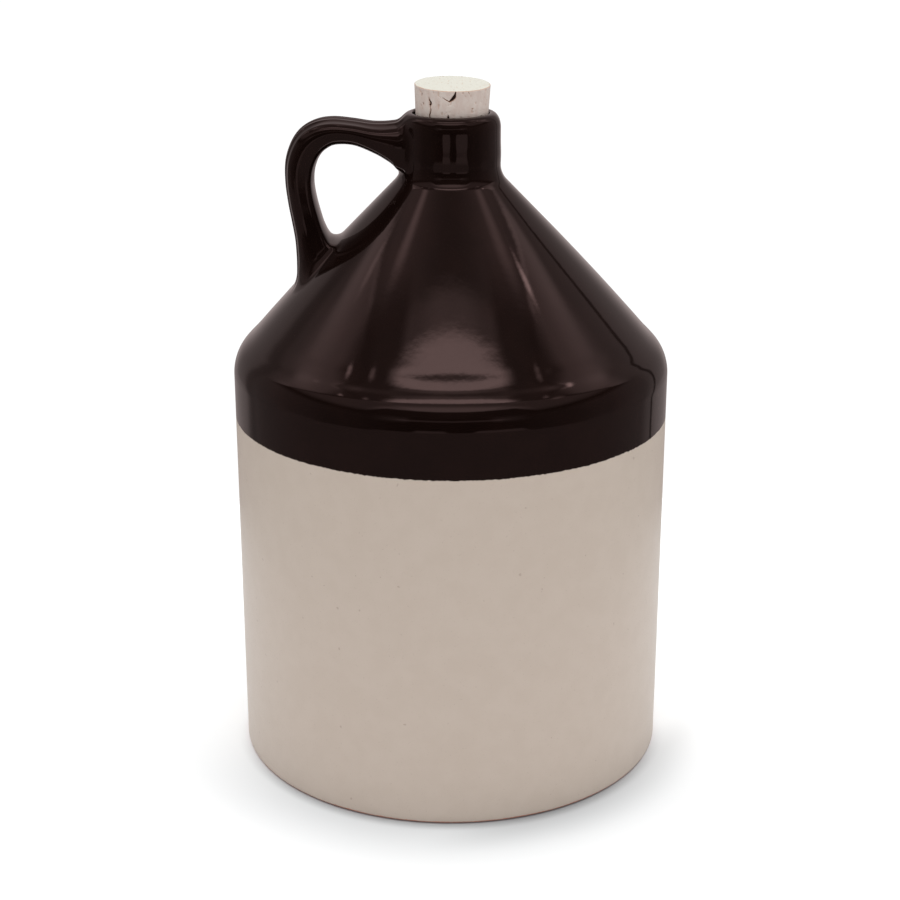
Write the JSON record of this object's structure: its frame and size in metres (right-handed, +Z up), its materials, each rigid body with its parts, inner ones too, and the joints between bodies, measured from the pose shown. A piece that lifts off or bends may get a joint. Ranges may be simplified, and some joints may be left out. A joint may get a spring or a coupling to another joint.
{
  "type": "stoneware jug",
  "caption": "Glazed stoneware jug with a straight body, cone shoulder, short neck, strap handle and a cork in its mouth.",
  "frame": {"origin": "centre of the flat base, on the axis that the body was turned about", "axes": "+Z up along the jug's axis, -X towards the handle, -Y towards the side that the picture shows"},
  "size_m": [0.178, 0.178, 0.2797],
  "materials": {
    "stoneware": "gloss",
    "cork": "matte"
  },
  "bodies": {
    "root": {"jug": "stoneware", "cork": "cork"}
  },
  "joints": []
}
